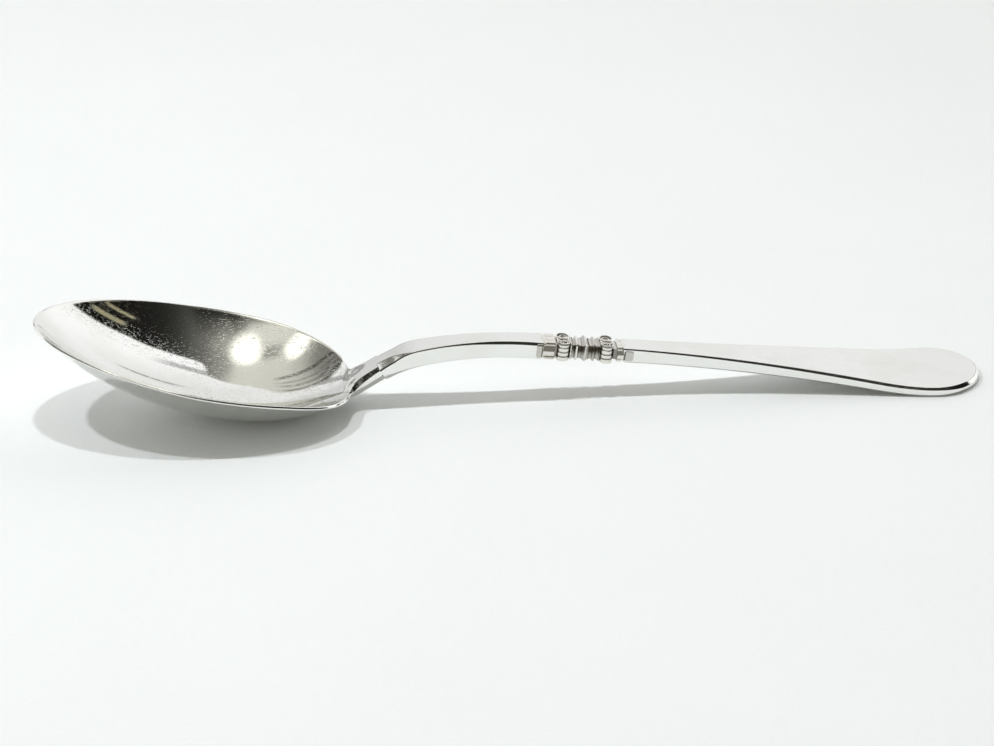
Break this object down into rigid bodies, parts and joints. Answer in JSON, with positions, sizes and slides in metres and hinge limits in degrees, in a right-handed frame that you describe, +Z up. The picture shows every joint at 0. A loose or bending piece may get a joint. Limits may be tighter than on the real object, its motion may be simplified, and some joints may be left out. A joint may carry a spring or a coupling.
{
  "type": "teaspoon",
  "caption": "Silver teaspoon: egg-shaped bowl, arched bevelled stem, a knop of scrolls, collars and leaves, and a flat handle widening to a rounded end; for stirring and measuring.",
  "frame": {"origin": "on the table the spoon lies on, at the middle of its length and width", "axes": "+X from the tip of the bowl to the end of the handle, +Y across the bowl, +Z up from the table"},
  "size_m": [0.1348, 0.0296, 0.015],
  "materials": {
    "silver": "polished silver with fine wear scratches",
    "ornament": "polished silver, darkened in the recesses"
  },
  "bodies": {
    "root": {"bowl": "silver", "stem": "silver", "lower_leaves": "ornament", "lower_volutes": "ornament", "lower_abacus": "ornament", "lower_collar": "ornament", "centre_ridge": "ornament", "upper_collar": "ornament", "upper_abacus": "ornament", "upper_volutes": "ornament", "upper_leaves": "ornament", "handle": "silver"}
  },
  "joints": []
}
